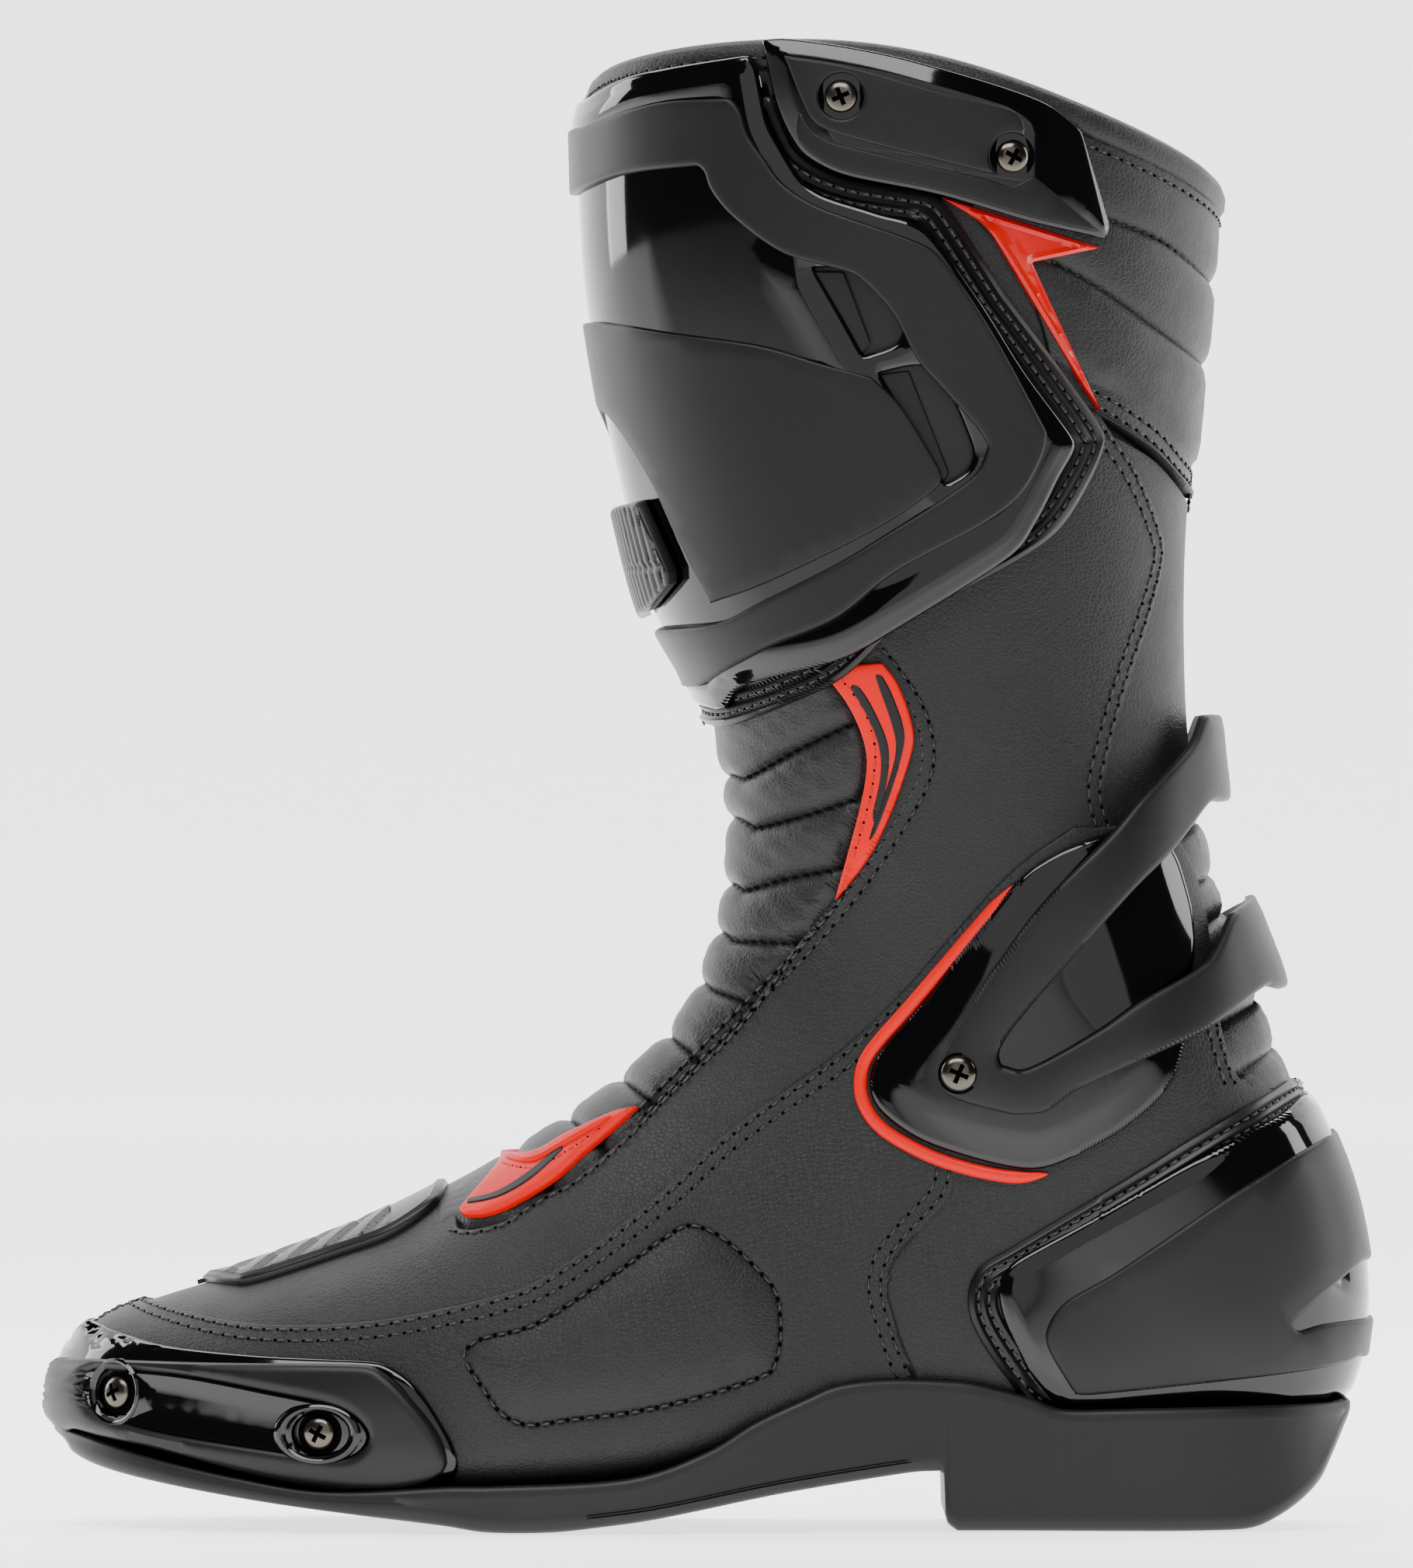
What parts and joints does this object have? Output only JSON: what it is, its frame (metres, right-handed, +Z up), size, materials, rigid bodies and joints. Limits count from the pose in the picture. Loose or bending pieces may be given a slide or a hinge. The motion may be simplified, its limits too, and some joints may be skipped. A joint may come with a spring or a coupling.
{
  "type": "motorcycle race boot",
  "caption": "Left motorcycle race boot in black leather with gloss shin, heel and toe armour, red trims, an ankle brace, ribbed stretch panels and a side zip",
  "frame": {"origin": "bottom centre of the bounding box, on the floor under the sole", "axes": "+Z up along the shaft, toe towards -X, heel towards +X, outer side of the foot towards -Y, inner side with the zip towards +Y"},
  "size_m": [0.3082, 0.1225, 0.3408],
  "materials": {
    "sole_rubber": "matt black moulded rubber with a fine grain",
    "tread_rubber": "matt charcoal rubber",
    "board": "brown fibre board",
    "steel": "plain pressed steel",
    "footbed_fabric": "grey textile over foam",
    "stiffener": "thermoplastic stiffener sheet",
    "lining": "dark knitted lining",
    "padding_fabric": "foam with a textile face",
    "gloss_armour": "polished black moulded polyurethane",
    "satin_armour": "satin black nylon",
    "matt_armour": "soft-touch matt black",
    "flange_rubber": "satin black moulded flange with a stitching groove",
    "leather": "matt fine-grain black leather",
    "stretch_leather": "soft matt black leather over foam",
    "red_leather": "bright red coated leather",
    "red_rubber": "bright red soft moulding",
    "dark_nickel": "dark nickel plate",
    "bronze": "plain bronze",
    "mesh_metal": "silver woven wire",
    "zip_fabric": "black woven tape",
    "zip_metal": "gunmetal plated zip metal",
    "pull_rubber": "black moulded pull",
    "tab_leather": "matt fine-grain black leather"
  },
  "bodies": {
    "foot": {"outsole": "sole_rubber", "tread_insert": "tread_rubber", "lasting_board": "board", "shank": "steel", "footbed": "footbed_fabric", "toe_puff": "stiffener", "heel_stiffener": "stiffener", "foot_liner": "lining", "toe_guard": "gloss_armour", "toe_slider": "satin_armour", "toe_slider_screws": "dark_nickel", "toe_slider_nuts": "steel", "vamp": "leather", "vamp_trim": "red_leather", "shift_pad": "tread_rubber", "quarter_lateral": "leather", "quarter_medial": "leather", "heel_flange": "flange_rubber", "heel_counter": "gloss_armour", "heel_cover": "matt_armour", "ankle_cup_lateral": "gloss_armour", "ankle_cup_medial": "gloss_armour", "ankle_piping_lateral": "red_rubber", "ankle_piping_medial": "red_rubber", "ankle_screws": "dark_nickel", "ankle_nuts": "steel", "front_accordion": "stretch_leather", "rear_accordion": "stretch_leather", "instep_trim": "red_leather", "brace_bushes": "bronze"},
    "shaft": {"shaft_leather_lateral": "leather", "shaft_leather_medial": "leather", "calf_leather_medial": "leather", "calf_lower_panel": "leather", "calf_panel": "stretch_leather", "collar": "stretch_leather", "shaft_liner": "lining", "shin_padding": "padding_fabric", "shin_flange": "flange_rubber", "shin_plate": "gloss_armour", "shin_frame": "matt_armour", "shin_insert": "matt_armour", "vent_mesh": "mesh_metal", "calf_plate": "gloss_armour", "calf_inlay": "matt_armour", "calf_screws": "dark_nickel", "calf_nuts": "steel", "calf_chevron": "red_leather", "zip_tapes": "zip_fabric", "zip_teeth": "zip_metal", "zip_stops": "zip_metal", "tab_loop_patch": "zip_fabric"},
    "brace": {"ankle_brace": "matt_armour"},
    "vent_grip": {"vent_grip": "matt_armour"},
    "vent_blades": {"vent_shutter": "matt_armour"},
    "zip_slider": {"zip_slider": "zip_metal"},
    "zip_pull": {"zip_pull": "pull_rubber"},
    "closure_tab": {"closure_tab": "tab_leather", "tab_hook_patch": "zip_fabric"}
  },
  "joints": [
    {"name": "ankle_flex", "type": "hinge", "parent": "foot", "child": "shaft", "pos_m": [0.0576, 0, 0.1047], "axis": [0, -1, 0], "range_deg": [-3, 10], "deforming": ["front_accordion", "rear_accordion", "instep_trim"]},
    {"name": "brace_swing", "type": "hinge", "parent": "foot", "child": "brace", "pos_m": [0.0576, 0, 0.1047], "axis": [0, -1, 0], "range_deg": [-2, 6]},
    {"name": "vent_grip_turn", "type": "hinge", "parent": "shaft", "child": "vent_grip", "pos_m": [0.03805, 0, 0.24435], "axis": [0.2335, 0, -0.9724], "range_deg": [0, 8]},
    {"name": "vent_blades_slide", "type": "slide", "parent": "shaft", "child": "vent_blades", "axis": [0.9531, -0.0147, -0.3022], "range_m": [0, 0.0048]},
    {"name": "zip_run", "type": "slide", "parent": "shaft", "child": "zip_slider", "axis": [0.0371, -0.0735, -0.9966], "range_m": [0, 0.09]},
    {"name": "zip_pull_swing", "type": "hinge", "parent": "zip_slider", "child": "zip_pull", "pos_m": [0.0666, 0.05304, 0.28439], "axis": [0.9802, -0.1915, 0.0506], "range_deg": [0, 95]},
    {"name": "closure_tab_peel", "type": "hinge", "parent": "shaft", "child": "closure_tab", "pos_m": [0.03987, 0.05738, 0.30534], "axis": [0, 0.0448, 0.999], "range_deg": [0, 80]}
  ],
  "couplings": [
    {"joint": "brace_swing", "follows": "ankle_flex", "ratio": 0.5},
    {"joint": "vent_blades_slide", "follows": "vent_grip_turn", "m_per_rad": 0.033}
  ]
}
